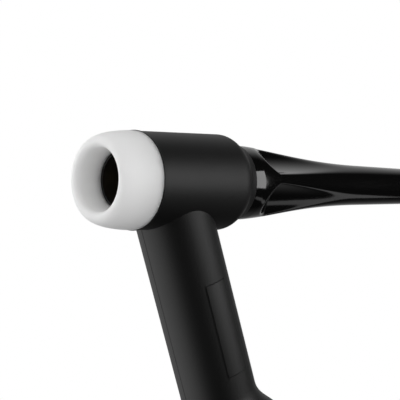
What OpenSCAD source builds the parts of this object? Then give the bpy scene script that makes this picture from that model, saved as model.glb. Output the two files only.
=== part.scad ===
// Air-cooled TIG welding torch with a bendable neck, a long back cap and no
// consumables fitted. The head axis is X: the nozzle end points to -X and the
// back cap to +X. The origin is on the head axis, at the front face of the head
// cover. The neck leaves the head downwards and leans towards the back cap.

/* [Head] */
// Outside diameter of the rubber head cover at its front
head_d = 25.0; // [23:0.1:28]
// Outside diameter where the head cover's rear edge starts to round
head_rear_d = 25.5; // [23:0.1:28]
// Length of the head cover's thick part, from its front face
head_len = 32.5; // [31:0.1:38]
// Rounding of the thick part's rear edge
head_edge_r = 4.1; // [3:0.1:5]
// Angle that this rounding turns through before it runs out into the rear lip
edge_turn = 44; // [30:1:50]
// Outside diameter of the lip behind the thick part
lip_d = 21.0; // [20.8:0.1:21.4]
// Length of the lip
lip_len = 1.9; // [1.5:0.1:3]
// Rounding of the lip's rear edge
lip_edge_r = 0.3; // [0.1:0.05:0.3]
// Depth of the recess in the lip that takes the front of the back cap's collar
recess_len = 1.2; // [0.8:0.1:1.8]
// Height of the small bead at the head cover's front edge
bead_h = 0.2; // [0.1:0.05:0.4]
// Width of that bead
bead_w = 0.6; // [0.4:0.1:1]
// Diameter of the metal head core
core_d = 17.6; // [17:0.1:18]
// Depth of the metal core's front face behind the head cover's front face
core_setback = 5.5; // [4:0.1:7]
// Bore of the cover in front of the core, which takes the nozzle's shank
socket_d = 13.6; // [12:0.1:14]

/* [Front insulator] */
// Length of the insulator in front of the head cover
insulator_len = 11.45; // [10:0.05:14]
// Bore of the insulator
insulator_bore_d = 14.8; // [14.2:0.1:15.6]
// Radius of the rounded rim
rim_r = 1.85; // [1.2:0.05:2.1]
// Amount by which the insulator is larger in radius than the head cover
insulator_step = 0.07; // [0:0.01:0.3]
// Length of the spigot on the head cover that the insulator is pushed over
spigot_len = 3.9; // [3:0.1:5.5]
// Diameter of that spigot
spigot_d = 19.0; // [18:0.1:20]

/* [Core bores] */
// Diameter of the collet body's thread in the core
front_thread_d = 10.6; // [9:0.1:11.5]
// Length of the collet body's thread
front_thread_len = 5.0; // [4:0.1:6]
// Diameter of the gas chamber between the two threads
chamber_d = 9.2; // [8:0.1:10]
// Diameter of the back cap's thread in the core
rear_thread_d = 12.0; // [11:0.1:12.6]
// Length of the back cap's thread
rear_thread_len = 8.0; // [6.5:0.1:9]
// Diameter of the gas passage from the neck tube to the chamber
gas_d = 4.0; // [3:0.1:4.6]
// Length of the core's side boss, from the head axis
boss_len = 17; // [15:0.5:18]
// Thickness of the boss round the copper tube
boss_wall = 2.6; // [2:0.1:3]
// Depth to which the copper tube enters the boss
boss_seat = 6; // [3:0.5:7]

/* [Neck] */
// Lean of the neck from square to the head axis
neck_lean = 20; // [10:1:30]
// Distance from the head cover's front face to where the neck axis crosses
neck_x = 10.95; // [10:0.05:13]
// Outside diameter of the rubber neck
neck_d = 20.4; // [18:0.05:21]
// Outside diameter of the copper tube in the neck
tube_d = 8.0; // [7:0.1:9]
// Bore of the copper tube
tube_bore_d = 5.2; // [4:0.1:6]
// Where the rigid stub under the head ends, along the neck axis
stub_s = 22; // [20:0.5:24]
// Where the flare at the foot of the neck starts, along the neck axis
flare_s = 59.2; // [54:0.1:64]
// Length of the flare
flare_len = 14; // [10:0.5:18]
// Length of the plain band between the flare and the handle
band_len = 2.5; // [1:0.5:5]
// Height of the mould's parting line above the neck
parting_h = 0.12; // [0.05:0.01:0.3]
// Width of the parting line
parting_w = 0.5; // [0.3:0.1:0.8]
// Angle of the parting line, round the neck from its nozzle side
parting_angle = 9; // [0:1:15]

/* [Neck panel] */
// Start of the bare panel, along the neck axis
panel_s = 27.4; // [25:0.1:32]
// Length of the panel
panel_len = 25.5; // [15:0.1:26]
// Angle that the panel covers round the neck
panel_angle = 39; // [20:1:60]
// Height of the panel above the neck
panel_h = 0.15; // [0.05:0.01:0.4]

/* [Tail fitting] */
// Diameter of the brass collar on the lower end of the copper tube
collar_d = 13.0; // [12:0.1:14]
// Length of that collar
collar_len = 20; // [18:0.5:24]
// Depth to which the copper tube enters the collar
tube_seat = 10; // [6:0.5:14]
// Width across the flats of the hexagon
hex_af = 14.0; // [13:0.1:17]
// Length of the hexagon
hex_len = 7; // [5:0.5:9]
// Diameter of the power cable's thread
cable_thread_d = 9.5; // [9:0.1:12]
// Length of the power cable's thread
cable_thread_len = 13; // [8:0.5:14]
// Depth of the countersink at the mouth of the fitting's bore
cone_h = 1; // [0.5:0.1:1.5]

/* [Handle] */
// Outside diameter of the handle at its front
handle_d = 33.0; // [31:0.1:36]
// Outside diameter of the handle's grip
grip_d = 29.0; // [28:0.1:31]
// Length of the handle
handle_len = 130; // [110:1:160]
// Length of the handle's swelling front
swell_len = 26; // [20:1:34]
// Plain length at the handle's rear end
tail_len = 16; // [12:1:24]
// Rounding of the handle's ends
handle_edge_r = 1.2; // [0.6:0.1:1.4]
// Bore of the handle's front, which takes the neck moulding's plug
plug_d = 25.2; // [24:0.1:25.4]
// Length of that plug
plug_len = 14; // [10:0.5:16]
// Length of each of the plug's three rings
ring_h = 1.6; // [1:0.1:2.4]
// Height of those rings above the plug
ring_rise = 0.5; // [0.3:0.1:0.8]
// Bore of the bay round the tail fitting
bay_d = 22.8; // [22.2:0.1:24]
// Length of the bay past the end of the cable's thread
bay_spare = 4; // [2:0.5:10]
// Bore of the handle's grip
handle_bore_d = 22.0; // [20:0.1:22.6]
// Bore of the cable cover's socket at the rear end
cover_socket_d = 24.4; // [23.4:0.1:24.8]
// Depth of that socket
cover_socket_len = 10; // [6:0.5:14]
// Distance from one grip rib to the next
rib_pitch = 6.0; // [5:0.5:9]
// Depth of the grooves between the ribs
rib_depth = 0.9; // [0.5:0.1:1.2]

/* [Back cap] */
// Largest diameter of the back cap's collar
cap_d = 19.9; // [18.8:0.1:22]
// Diameter of the cap's stem where the taper ends
stem_d = 11.7; // [10:0.1:12]
// Diameter of the stem near its end
stem_end_d = 9.9; // [8.6:0.1:10.4]
// Length of the cap behind the head cover's rear face
cap_len = 104; // [90:1:120]
// Length from the collar's widest ring to the end of the taper
taper_len = 46.0; // [38:0.1:50]
// Thickness of the cap's closed end
end_wall = 8; // [4:0.5:14]
// Distance from the head cover's rear face to the collar's widest ring
crown_x = 4.8; // [4:0.1:6]
// Distance from the head cover's rear face to the flutes' front corners
flute_x = 11.8; // [10:0.1:13]
// Number of flutes
flute_count = 4; // [3:1:6]
// Radius of the cutter that shapes each flute
flute_r = 12.0; // [10:0.1:12.5]
// Distance from the cap's axis to the bottom of the flutes
flute_floor = 6.1; // [6:0.05:6.3]
// Height of the domed front end of each flute
flute_dome = 8.0; // [5:0.1:9]
// Turn of the flutes about the cap's axis at rest
flute_turn = -37; // [-45:1:45]
// Bore of the cap for the end of the electrode
electrode_bore_d = 5.2; // [4:0.1:6]

/* [Cap insert and seal] */
// Length of the insert's knurled part inside the cap
insert_len = 9.5; // [7:0.1:10.5]
// Diameter of that part
insert_d = 9.6; // [9:0.1:10]
// Distance from the gas chamber to the insert's front end
insert_setback = 1.6; // [0.5:0.1:2.5]
// Thickness of the sealing ring's cord
ring_cord_d = 1.8; // [1.5:0.1:2]
// Distance by which the core's rear face lies inside the head cover
core_inset = 0.5; // [0.4:0.1:1]

/* [Clearances] */
// Clearance in radius of each fit that slides or turns
fit_gap = 0.05; // [0.02:0.01:0.09]
// Gap between two faces that stop against each other
face_gap = 0.05; // [0.02:0.01:0.15]
// Gap in radius between pieces that don't touch
free_gap = 0.4; // [0.3:0.1:0.6]
// Gap round and in front of the back cap's collar at rest, in the head cover's recess
cap_gap = 0.15; // [0.1:0.05:0.5]
// Gap between the neck moulding's plug and the hexagon
hex_gap = 0.5; // [0.3:0.1:1.5]

/* [Hidden] */
$fn = 96;
curve_steps = 12;   // stretches in each rounded outline
past = 1;           // how far a cut runs past the face it leaves

head_r = head_d / 2;
head_rear_r = head_rear_d / 2;
neck_r = neck_d / 2;
core_r = core_d / 2;
tube_r = tube_d / 2;
spigot_r = spigot_d / 2;

// Places along the head axis
core_front = core_setback;
lip_end = head_len + lip_len;
rear_face = lip_end - recess_len;
core_rear = rear_face - core_inset;
ring_seat_depth = ring_cord_d + face_gap;
ring_seat_x = core_rear - ring_seat_depth;
rear_thread_x = ring_seat_x - rear_thread_len;
cap_face_x = core_rear + face_gap;
crown = rear_face + crown_x;
cap_end = rear_face + cap_len;
insert_front = rear_thread_x + insert_setback;
insert_rear = cap_face_x + insert_len;

// Places along the neck axis
tube_top = boss_len - boss_seat;
base_end = flare_s + flare_len + band_len;
plug_end = base_end + plug_len;
collar_s = plug_end - collar_len;
tube_end = collar_s + tube_seat;
hex_s = plug_end + hex_gap;
thread_s = hex_s + hex_len;
thread_end = thread_s + cable_thread_len;
handle_s = base_end + face_gap;
handle_end = handle_s + handle_len;
bay_end = thread_end + bay_spare;

// A cubic curve from a to d, steered by b and c
function bezier(a, b, c, d) = [
    for (i = [0 : curve_steps])
        let (t = i / curve_steps)
        pow(1 - t, 3) * a + 3 * t * pow(1 - t, 2) * b + 3 * t * t * (1 - t) * c + pow(t, 3) * d
];

// A circular arc about centre c, from angle from to angle to
function arc(c, r, from, to) = [
    for (i = [0 : curve_steps])
        let (a = from + (to - from) * i / curve_steps)
        c + r * [cos(a), sin(a)]
];

// Turns children drawn along Z onto the head axis, at x
module on_head_axis(x = 0) translate([x, 0, 0]) rotate([0, 90, 0]) children();

// Puts children drawn along Z onto the neck axis, s below the head axis
module on_neck_axis(s = 0)
    translate([neck_x, 0, 0]) rotate([0, 180 - neck_lean, 0]) translate([0, 0, s]) children();

// Revolves an outline of [radius, distance] points
module revolve(points) rotate_extrude() polygon(points);

// White ring between the head and the nozzle: a tapered side, a full round rim,
// a straight bore, and a counterbore that pushes over the head's spigot
module front_insulator() {
    seat_r = spigot_r + fit_gap;
    bore_r = insulator_bore_d / 2;
    side_r = head_r + insulator_step;
    rim_c = [bore_r + rim_r, rim_r - insulator_len];
    rim_start = 62;                      // the side meets the rim where it faces this far out
    rear_pull = 0.44 * insulator_len;    // how far each end steers the side's curve
    rim_pull = 1.13 * rim_r;
    draft = 0.011 * side_r;
    meet = rim_c + rim_r * [sin(rim_start), -cos(rim_start)];
    back = -face_gap;
    side = bezier(
        [side_r, back],
        [side_r - draft, -rear_pull],
        meet + rim_pull * [cos(rim_start), sin(rim_start)],
        meet
    );
    rim = arc(rim_c, rim_r, rim_start - 90, -180);
    color("white") on_head_axis() revolve(concat(
        side,
        rim,
        [[bore_r, -spigot_len - face_gap], [seat_r, -spigot_len - face_gap], [seat_r, back]]
    ));
}

// Brass core: threaded for the collet body in front and for the back cap behind,
// with a gas chamber between them and a side boss that takes the neck tube
module head_core() color("darkgoldenrod") difference() {
    union() {
        on_head_axis(core_front) cylinder(h = core_rear - core_front, r = core_r);
        on_neck_axis() cylinder(h = boss_len, r = tube_r + boss_wall);
    }
    on_head_axis(core_front - past) cylinder(h = front_thread_len + past, d = front_thread_d);
    on_head_axis(core_front + past) cylinder(h = rear_thread_x - core_front, d = chamber_d);
    on_head_axis(rear_thread_x) cylinder(h = rear_thread_len + past, d = rear_thread_d + 2 * fit_gap);
    on_head_axis(ring_seat_x) cylinder(h = ring_seat_depth + past, r = ring_seat_r());
    on_neck_axis() cylinder(h = boss_len, d = gas_d);
    on_neck_axis(tube_top) cylinder(h = boss_seat + past, r = tube_r);
}

// Radius of the seat for the sealing ring, which lies round the insert's thread
function ring_seat_r() = rear_thread_d / 2 + ring_cord_d + 3 * fit_gap;

// Rubber moulding over the core: bead, rounded rear edge that runs out into a lip,
// front spigot and neck stub
module head_cover() color([0.09, 0.09, 0.09]) difference() {
    crest = bead_h / 0.75;               // the curve rises to three quarters of this
    edge_c = [head_rear_r - head_edge_r, head_len - head_edge_r];
    edge_end = edge_c + head_edge_r * [cos(edge_turn), sin(edge_turn)];
    edge_pull = 0.25 * head_edge_r;      // how far each end steers the hollow before the lip
    lip_pull = 0.55 * lip_len;
    lip_slope = 12;
    lip_front = [lip_d / 2, lip_end - lip_edge_r];
    union() {
        on_head_axis() revolve(concat(
            [[0, -spigot_len], [spigot_r, -spigot_len], [spigot_r, 0]],
            bezier([head_r, 0], [head_r + crest, 0], [head_r + crest, bead_w], [head_r, bead_w]),
            arc(edge_c, head_edge_r, 0, edge_turn),
            bezier(
                edge_end,
                edge_end + edge_pull * [-sin(edge_turn), cos(edge_turn)],
                lip_front + lip_pull * [sin(lip_slope), -cos(lip_slope)],
                lip_front
            ),
            arc(lip_front - [lip_edge_r, 0], lip_edge_r, 0, 90),
            [[0, lip_end]]
        ));
        on_neck_axis() cylinder(h = stub_s, r = neck_r);
    }
    on_head_axis(-spigot_len - past) cylinder(h = spigot_len + core_front + 2 * past, d = socket_d);
    on_head_axis(core_front) cylinder(h = lip_end - core_front + past, r = core_r);
    on_head_axis(rear_face) cylinder(h = recess_len + past, r = cap_d / 2 + cap_gap);
    on_neck_axis() cylinder(h = boss_len, r = tube_r + boss_wall);
    on_neck_axis() cylinder(h = stub_s + past, r = tube_r);
}

// Bendable part of the moulding, with the mould's parting line and a bare panel
module neck_cover() color([0.09, 0.09, 0.09]) difference() {
    union() {
        on_neck_axis(stub_s) cylinder(h = flare_s - stub_s, r = neck_r);
        for (side = [0, 180])
            on_neck_axis(stub_s) rotate(parting_angle + side) parting_rib();
        on_neck_axis(panel_s) rotate(-90) neck_panel();
    }
    on_neck_axis(stub_s - past) cylinder(h = flare_s - stub_s + 2 * past, r = tube_r);
}

module parting_rib() translate([tube_r + past, -parting_w / 2, 0])
    cube([neck_r + parting_h - tube_r - past, parting_w, flare_s - stub_s]);

module neck_panel() rotate(-panel_angle / 2) rotate_extrude(angle = panel_angle)
    translate([tube_r + past, 0]) square([neck_r + panel_h - tube_r - past, panel_len]);

// Foot of the moulding: flare, band, and a ringed plug inside the handle
module neck_base() {
    band_r = handle_d / 2;
    ring_r = plug_d / 2 - fit_gap;
    ring_step = (plug_len - ring_h) / 3;
    flare_end = flare_s + flare_len;
    flare = bezier(
        [neck_r, flare_s],
        [neck_r, flare_s + 0.45 * flare_len],
        [band_r, flare_s + 0.55 * flare_len],
        [band_r, flare_end]
    );
    color([0.09, 0.09, 0.09]) on_neck_axis() difference() {
        union() {
            revolve(concat(flare, [[band_r, base_end], [0, base_end], [0, flare_s]]));
            translate([0, 0, base_end]) cylinder(h = plug_len, r = ring_r - ring_rise);
            for (i = [0 : 2])
                translate([0, 0, base_end + (i + 0.5) * ring_step]) cylinder(h = ring_h, r = ring_r);
        }
        translate([0, 0, flare_s - past]) cylinder(h = collar_s - flare_s + 2 * past, r = tube_r);
        translate([0, 0, collar_s]) cylinder(h = collar_len + past, d = collar_d);
    }
}

// Soft copper tube that carries the gas and the current, and that is bent by hand
module neck_tube() color("peru") on_neck_axis(tube_top) difference() {
    cylinder(h = tube_end - tube_top, r = tube_r);
    translate([0, 0, -past]) cylinder(h = tube_end - tube_top + 2 * past, d = tube_bore_d);
}

// Brass end of the neck: collar, hexagon, and the thread for the power cable
module tail_fitting() color("goldenrod") difference() {
    union() {
        on_neck_axis(collar_s) cylinder(h = hex_s - collar_s, d = collar_d);
        on_neck_axis(hex_s) cylinder(h = hex_len, d = hex_af / cos(30), $fn = 6);
        on_neck_axis(thread_s) cylinder(h = cable_thread_len, d = cable_thread_d);
    }
    on_neck_axis(collar_s - past) cylinder(h = tube_seat + past, r = tube_r);
    on_neck_axis(collar_s) cylinder(h = thread_end - collar_s + past, d = tube_bore_d);
    on_neck_axis(thread_end - cone_h)
        cylinder(h = cone_h + past, d1 = tube_bore_d, d2 = tube_bore_d + 2 * (cone_h + past));
}

// Moulded tube of the handle: swelling front, ribbed grip, and a socket at the rear
// for the cable's cover. The bores step down from the plug to the bay to the grip.
module handle() {
    front_r = handle_d / 2;
    grip_r = grip_d / 2;
    edge_r = handle_edge_r;
    ribs_s = handle_s + swell_len;
    rib_count = floor((handle_len - swell_len - tail_len) / rib_pitch);
    swell = bezier(
        [front_r, handle_s + edge_r],
        [front_r, handle_s + 0.45 * swell_len],
        [grip_r, handle_s + 0.55 * swell_len],
        [grip_r, ribs_s]
    );
    groove = [[0, 0.44], [1, 0.56], [1, 0.86], [0, 0.98]];   // shares of the depth and the pitch
    ribs = [
        for (i = [0 : rib_count - 1])
            for (p = groove)
                [grip_r - p[0] * rib_depth, ribs_s + (i + p[1]) * rib_pitch]
    ];
    color([0.13, 0.13, 0.13]) on_neck_axis() difference() {
        revolve(concat(
            [[0, handle_s]],
            arc([front_r - edge_r, handle_s + edge_r], edge_r, -90, 0),
            swell,
            ribs,
            arc([grip_r - edge_r, handle_end - edge_r], edge_r, 0, 90),
            [[0, handle_end]]
        ));
        translate([0, 0, handle_s - past]) cylinder(h = plug_len + hex_gap + past, d = plug_d);
        translate([0, 0, handle_s]) cylinder(h = bay_end - handle_s, d = bay_d);
        translate([0, 0, handle_s]) cylinder(h = handle_len + past, d = handle_bore_d);
        translate([0, 0, handle_end - cover_socket_len])
            cylinder(h = cover_socket_len + past, d = cover_socket_d);
    }
}

// Long back cap: nose, crowned collar, tapered shoulder with thumb flutes, stem
module back_cap() {
    cap_r = cap_d / 2;
    nose_r = core_r - free_gap;
    stem_r = stem_d / 2;
    end_r = stem_end_d / 2;
    collar_front = rear_face + cap_gap;
    taper_end = crown + taper_len;
    drop = cap_r - stem_r;
    shoulder = bezier(
        [cap_r, crown],
        [cap_r - 0.17 * drop, crown + 0.26 * taper_len],
        [stem_r + 0.146 * drop, crown + 0.48 * taper_len],
        [stem_r, taper_end]
    );
    collar = bezier(
        [0.945 * cap_r, collar_front],
        [0.985 * cap_r, collar_front],
        [cap_r, crown - 0.6 * crown_x],
        [cap_r, crown]
    );
    color([0.05, 0.05, 0.05]) on_head_axis() difference() {
        revolve(concat(
            [[0, cap_face_x], [nose_r, cap_face_x], [nose_r, collar_front]],
            collar,
            shoulder,
            arc([0, cap_end - end_r], end_r, 0, 90)
        ));
        for (i = [0 : flute_count - 1])
            rotate(90 - flute_turn + i * 360 / flute_count) flute_cutter();
        translate([0, 0, cap_face_x - past]) cylinder(h = insert_len + past, d = insert_d);
        translate([0, 0, cap_face_x]) cylinder(h = cap_end - end_wall - cap_face_x, d = electrode_bore_d);
    }
}

// One flute's cutter: a round bar beside the cap with a domed front end
module flute_cutter() {
    front = rear_face + flute_x;
    ball_r = (flute_r * flute_r + flute_dome * flute_dome) / (2 * flute_dome);
    half = asin(flute_r / ball_r);
    translate([flute_floor + flute_r, 0, 0]) revolve(concat(
        arc([0, front - flute_dome + ball_r], ball_r, -90, half - 90),
        [[flute_r, cap_end], [0, cap_end]]
    ));
}

// Brass insert moulded into the cap: threaded front end and a ringed rear end
module cap_insert() {
    groove_w = 1.2;
    groove_depth = 0.4;
    color("gold") on_head_axis() difference() {
        union() {
            translate([0, 0, insert_front])
                cylinder(h = cap_face_x - insert_front, d = rear_thread_d);
            translate([0, 0, cap_face_x]) cylinder(h = insert_len, d = insert_d);
        }
        for (i = [1, 2])
            translate([0, 0, cap_face_x + i * insert_len / 3 - groove_w / 2])
                rotate_extrude() translate([insert_d / 2 - groove_depth, 0])
                    square([groove_depth + past, groove_w]);
        translate([0, 0, insert_front - past])
            cylinder(h = insert_rear - insert_front + 2 * past, d = electrode_bore_d);
    }
}

// Sealing ring between the cap's front face and the core's seat
module cap_o_ring() color([0.16, 0.16, 0.16]) on_head_axis(ring_seat_x + face_gap / 2 + ring_cord_d / 2)
    rotate_extrude() translate([rear_thread_d / 2 + fit_gap + ring_cord_d / 2, 0])
        circle(d = ring_cord_d, $fn = 32);

front_insulator();
head_core();
head_cover();
neck_cover();
neck_base();
neck_tube();
tail_fitting();
handle();
back_cap();
cap_insert();
cap_o_ring();
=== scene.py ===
"""Air-cooled TIG welding torch: the finished look of a flexible-neck torch with a long back cap."""

import math

import bmesh
import bpy
from bpy.props import FloatProperty, FloatVectorProperty, IntProperty, PointerProperty
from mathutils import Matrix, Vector


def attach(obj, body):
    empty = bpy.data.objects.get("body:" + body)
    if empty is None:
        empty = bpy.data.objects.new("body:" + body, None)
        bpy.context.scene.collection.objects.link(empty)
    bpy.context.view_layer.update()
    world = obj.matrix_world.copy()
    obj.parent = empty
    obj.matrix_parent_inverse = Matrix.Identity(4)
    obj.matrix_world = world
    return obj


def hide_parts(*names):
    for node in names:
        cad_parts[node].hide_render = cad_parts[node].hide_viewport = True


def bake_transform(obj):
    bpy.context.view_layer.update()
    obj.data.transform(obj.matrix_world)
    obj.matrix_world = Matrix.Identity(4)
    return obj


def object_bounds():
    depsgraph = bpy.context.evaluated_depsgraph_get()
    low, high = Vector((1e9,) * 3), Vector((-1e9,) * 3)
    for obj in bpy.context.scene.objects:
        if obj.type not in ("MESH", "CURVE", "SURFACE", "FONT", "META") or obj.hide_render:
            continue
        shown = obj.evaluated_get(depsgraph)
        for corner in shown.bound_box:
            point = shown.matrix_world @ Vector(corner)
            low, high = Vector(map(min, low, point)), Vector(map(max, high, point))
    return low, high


bl_info = {
    "name": "TIG torch",
    "version": (1, 0, 0),
    "blender": (4, 5, 0),
    "location": "View3D > Sidebar > TIG torch",
    "description": "Builds an air-cooled TIG torch round its packed frame",
    "category": "Object",
}

MM = 0.001
FIT = 0.05 * MM  # clearance between pieces that sit against each other
SHEET = 1.0  # brightness of the white sheet
ROOM = 0.01  # brightness of the dark room in front, in reflections
FILL = 0.32  # brightness of the room on matt surfaces
THREAD_SIDES = 96
TURNS = [math.tau * i / THREAD_SIDES for i in range(THREAD_SIDES)]
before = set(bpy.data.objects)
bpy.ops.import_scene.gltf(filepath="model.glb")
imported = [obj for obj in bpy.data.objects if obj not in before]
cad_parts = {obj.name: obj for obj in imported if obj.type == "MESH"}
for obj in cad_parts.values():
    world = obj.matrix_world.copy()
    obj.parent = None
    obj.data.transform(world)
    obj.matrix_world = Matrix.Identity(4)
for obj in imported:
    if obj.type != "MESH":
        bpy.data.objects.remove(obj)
CAD_BOX = [list(corner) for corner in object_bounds()]


# ---------------- sizes and colours


def linear(code):
    """Turns an sRGB hex colour into linear RGBA."""
    parts = [int(code[i : i + 2], 16) / 255 for i in (0, 2, 4)]
    return [p / 12.92 if p <= 0.04045 else ((p + 0.055) / 1.055) ** 2.4 for p in parts] + [1.0]


def mm(name, description, millimetres):
    size = millimetres * MM
    return FloatProperty(name=name, description=description, default=size, min=0, precision=5, unit="LENGTH")


def degrees(name, description, size):
    turn = math.radians(size)
    return FloatProperty(name=name, description=description, default=turn, subtype="ANGLE")


def colour(name, description, code):
    return FloatVectorProperty(
        name=name, description=description, default=linear(code), size=4, min=0.0, max=1.0, subtype="COLOR"
    )


class TorchSizes(bpy.types.PropertyGroup):
    """Sizes of the torch; places where something starts or ends lie along the neck's axis"""

    head_radius: mm("Head radius", "Radius of the rubber head at its front", 12.5)
    head_rear_radius: mm("Head rear radius", "Radius of the head at its rear", 12.75)
    head_length: mm("Head length", "Length of the rubber head's thick part", 32.5)
    head_edge: mm("Head edge", "Rounding of the thick part's rear edge", 4.1)
    lip_radius: mm("Lip radius", "Radius of the lip behind the thick part", 10.5)
    lip_length: mm("Lip length", "Length of that lip", 1.9)
    lip_edge: mm("Lip edge", "Rounding of the lip's rear edge", 0.3)
    recess: mm("Recess", "Depth of the lip's recess for the cap's collar", 1.2)
    bead_height: mm("Bead height", "Height of the bead behind the insulator", 0.2)
    bead_width: mm("Bead width", "Width of the bead behind the insulator", 0.6)
    core_radius: mm("Core radius", "Radius of the brass core in the head", 8.8)
    core_setback: mm("Core setback", "Depth of the core behind the head's front face", 5.5)
    boss_wall: mm("Boss wall", "Wall of the core's boss round the neck tube", 2.6)
    boss_end: mm("Boss end", "Where the core's boss ends", 17.0)
    boss_seat: mm("Boss seat", "How far the neck tube reaches into the boss", 6.0)
    socket_radius: mm("Socket radius", "Radius of the rubber socket in front of the core", 6.8)
    insulator_length: mm("Insulator length", "Length of the white front insulator", 11.45)
    insulator_bore: mm("Insulator bore", "Radius of the insulator's bore", 7.4)
    mouth_widening: mm("Mouth widening", "How much the insulator's bore widens at its mouth", 0.6)
    rim_radius: mm("Rim radius", "Radius of the insulator's rounded rim", 1.85)
    spigot_length: mm("Spigot length", "Length of the head's spigot in the insulator", 3.9)
    spigot_radius: mm("Spigot radius", "Radius of the head's spigot", 9.5)
    neck_offset: mm("Neck offset", "From the head's front face to the neck's axis", 10.95)
    neck_radius: mm("Neck radius", "Radius of the rubber neck", 10.2)
    stub_end: mm("Stub end", "Where the stiff part of the neck ends", 22.0)
    flare_start: mm("Flare start", "Where the flare starts", 59.2)
    flare_length: mm("Flare length", "Length of the flare", 14.0)
    band_radius: mm("Band radius", "Radius of the band in front of the handle", 16.5)
    band_length: mm("Band length", "Length of that band", 2.5)
    plug_radius: mm("Plug radius", "Radius of the plug's rings inside the handle", 12.55)
    plug_length: mm("Plug length", "Length of the plug inside the handle", 14.0)
    tube_radius: mm("Tube radius", "Radius of the copper tube in the neck", 4.0)
    tube_bore: mm("Tube bore", "Radius of the copper tube's bore", 2.6)
    collar_radius: mm("Collar radius", "Radius of the tail fitting's collar", 6.5)
    collar_length: mm("Collar length", "Length of the tail fitting's collar in the plug", 20.0)
    panel_start: mm("Panel start", "Where the neck's bare panel starts", 27.4)
    panel_length: mm("Panel length", "Length of the neck's bare panel", 25.5)
    panel_height: mm("Panel height", "Height of the bare panel above the neck", 0.15)
    line_height: mm("Parting line height", "Height of the mould's parting line", 0.12)
    line_width: mm("Parting line width", "Width of the mould's parting line", 0.5)
    handle_length: mm("Handle length", "Length of the handle", 130.0)
    grip_radius: mm("Grip radius", "Radius of the handle's grip", 14.5)
    groove_pitch: mm("Groove pitch", "From one grip groove to the next", 6.0)
    groove_depth: mm("Groove depth", "Depth of the grip's grooves", 0.9)
    cap_radius: mm("Cap radius", "Largest radius of the back cap", 9.95)
    cap_length: mm("Cap length", "Length of the back cap behind the head's rear face", 104.0)
    stem_radius: mm("Stem radius", "Radius of the cap's stem where its taper ends", 5.85)
    stem_end_radius: mm("Stem end radius", "Radius of the cap's stem at its round end", 4.95)
    nose_length: mm("Nose length", "Length of the cap's nose inside the head", 0.45)
    cap_bore: mm("Cap bore", "Radius of the bore through the insert and the cap", 2.6)
    insert_radius: mm("Insert radius", "Radius of the brass insert in the cap", 4.8)
    insert_depth: mm("Insert depth", "Depth of the brass insert in the cap", 9.5)
    flute_radius: mm("Flute radius", "Radius of each thumb flute in the cap", 12.0)
    flute_floor: mm("Flute floor", "From the cap's axis to the flutes' floor", 6.1)
    flute_dome: mm("Flute dome", "Height of the domed front end of each flute", 8.0)
    flute_front: mm("Flute front", "From the head's rear face to the flutes' corners", 11.8)
    edge_softness: mm("Edge softness", "How far the flutes' edges are rounded", 0.32)
    edge_turn: degrees("Edge turn", "Angle that the head's rear edge turns through", 44)
    neck_lean: degrees("Neck lean", "Lean of the neck from square", 20)
    flute_turn: degrees("Flute turn", "Turn of the flutes at rest", -37)
    flute_count: IntProperty(name="Flutes", description="Number of thumb flutes", default=4, min=1, max=8)
    segments: IntProperty(name="Segments", description="Flat sides round the head", default=192, min=48)


class TorchColours(bpy.types.PropertyGroup):
    ptfe: colour("PTFE", "White of the front insulator", "F9F9F8")
    rubber: colour("Rubber", "Black of the silicone rubber neck", "0B0B0B")
    phenolic: colour("Phenolic", "Black of the back cap", "080808")
    nylon: colour("Nylon", "Black of the handle", "1B1B1B")
    brass: colour("Brass", "Yellow of the machined brass", "C9A25C")
    copper: colour("Copper", "Red of the copper tube", "BE7450")
    nitrile: colour("Nitrile", "Black of the sealing ring", "161616")
    floor: colour("Floor", "Pale colour of the floor", "E6E6E4")


# ---------------- small helpers


def settings():
    scene = bpy.context.scene
    return scene.torch_sizes, scene.torch_colours


def add(tree, kind, inputs=None, attributes=None):
    """Adds a node, sets its attributes, and fills its inputs with values, sockets or nodes."""
    made = tree.nodes.new(kind)
    for name, value in (attributes or {}).items():
        setattr(made, name, value)
    for key, value in (inputs or {}).items():
        if isinstance(value, bpy.types.Node):
            value = value.outputs[0]
        if isinstance(value, bpy.types.NodeSocket):
            tree.links.new(value, made.inputs[key])
        else:
            made.inputs[key].default_value = value
    return made


def maths(tree, operation, first, second=0.0):
    return add(tree, "ShaderNodeMath", {0: first, 1: second}, {"operation": operation}).outputs[0]


def slope(tree, value, start, end, low=0.0, high=1.0):
    """Smooth change from low to high while the value goes from start to end."""
    inputs = {"Value": value, "From Min": start, "From Max": end, "To Min": low, "To Max": high}
    return add(tree, "ShaderNodeMapRange", inputs, {"interpolation_type": "SMOOTHSTEP"}).outputs[0]


def mix(a, b, share):
    return a + (b - a) * share


def bezier(a, b, c, d, steps=16):
    """Points of a cubic curve from a to d, steered by b and c."""
    points = []
    for i in range(steps + 1):
        t = i / steps
        weights = ((1 - t) ** 3, 3 * t * (1 - t) ** 2, 3 * t * t * (1 - t), t**3)
        points.append(tuple(sum(w * p[k] for w, p in zip(weights, (a, b, c, d))) for k in (0, 1)))
    return points


def arc(centre, radius, start, end, steps=12):
    """Points of a circular arc in degrees."""
    return [
        (centre[0] + radius * math.cos(angle), centre[1] + radius * math.sin(angle))
        for angle in (math.radians(mix(start, end, i / steps)) for i in range(steps + 1))
    ]


def at_height(points, height):
    """Radius of an outline of (radius, height) points at a height."""
    for (r0, h0), (r1, h1) in zip(points, points[1:]):
        if min(h0, h1) <= height <= max(h0, h1) and h1 != h0:
            return mix(r0, r1, (height - h0) / (h1 - h0))
    return points[0][0] if height < points[0][1] else points[-1][0]


def head_axis():
    """Origin, direction, and the two sides from which angles are counted."""
    return Vector((0, 0, 0)), Vector((1, 0, 0)), Vector((0, -1, 0)), Vector((0, 0, 1))


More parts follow.
